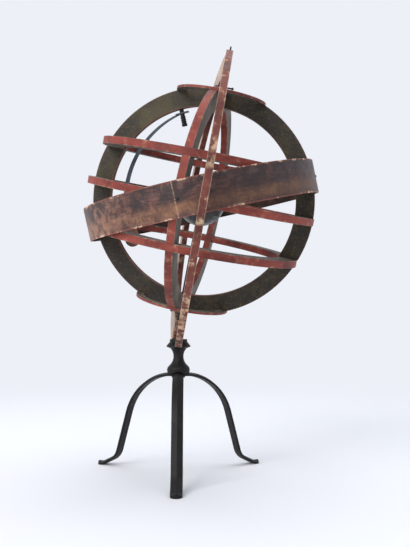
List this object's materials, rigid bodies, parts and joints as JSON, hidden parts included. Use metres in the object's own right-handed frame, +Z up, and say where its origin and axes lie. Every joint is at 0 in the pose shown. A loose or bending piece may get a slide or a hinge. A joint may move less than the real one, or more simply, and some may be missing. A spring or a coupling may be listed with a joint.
{
  "type": "armillary sphere",
  "caption": "Armillary sphere of painted flat rings with a wide zodiac band, a small globe and a swinging arm, on a wrought-iron tripod",
  "frame": {"origin": "on the floor under the middle of the whole; the tripod's axis stands 30 mm to the left of it and 27.5 mm behind it", "axes": "+Z up; the front leg points to -Y, towards the viewer of the picture; +X to the viewer's right"},
  "size_m": [0.3099, 0.3891, 0.5557],
  "materials": {
    "wrought_iron": "blackened, soft sheen",
    "red_painted_wood": "brick-red paint, worn to the wood at the edges",
    "dark_painted_wood": "mottled olive-brown and black paint",
    "zodiac_paper": "brown varnished paper over thin wood, with a golden lower stripe",
    "globe_paint": "dark gloss varnish",
    "arm_tinplate": "grey-blue, dull"
  },
  "bodies": {
    "stand": {"front_leg": "wrought_iron", "right_leg": "wrought_iron", "left_leg": "wrought_iron", "crown_stud": "wrought_iron", "crown_washer": "wrought_iron", "crown_nut": "wrought_iron", "slotted_head": "wrought_iron", "foot_pin": "wrought_iron", "meridian_front_half": "red_painted_wood", "meridian_rear_half": "red_painted_wood", "meridian_lap_rivets": "wrought_iron"},
    "sphere": {"solstitial_colure": "dark_painted_wood", "equinoctial_colure": "red_painted_wood", "arctic_circle": "red_painted_wood", "antarctic_circle": "red_painted_wood", "zodiac_left_band": "zodiac_paper", "zodiac_right_band": "zodiac_paper", "zodiac_nails": "wrought_iron", "polar_axle": "wrought_iron", "north_cotter": "wrought_iron", "south_cotter": "wrought_iron", "earth_globe": "globe_paint", "ecliptic_spindle": "wrought_iron", "spindle_nut": "wrought_iron", "equator_hoop": "red_painted_wood", "north_tropic_hoop": "red_painted_wood", "south_tropic_hoop": "red_painted_wood"},
    "arm": {"sun_arm": "arm_tinplate", "sun_plaque": "zodiac_paper", "plaque_rivets": "wrought_iron"}
  },
  "joints": [
    {"name": "sphere_spin", "type": "hinge", "parent": "stand", "child": "sphere", "pos_m": [0.00074, -0.00044, 0.35983], "axis": [0.1902, -0.2178, 0.9573], "continuous": true},
    {"name": "sun_arm_swing", "type": "hinge", "parent": "sphere", "child": "arm", "pos_m": [0.00074, -0.00044, 0.35983], "axis": [-0.2097, -0.146, 0.9668], "range_deg": [-162, 174]}
  ]
}
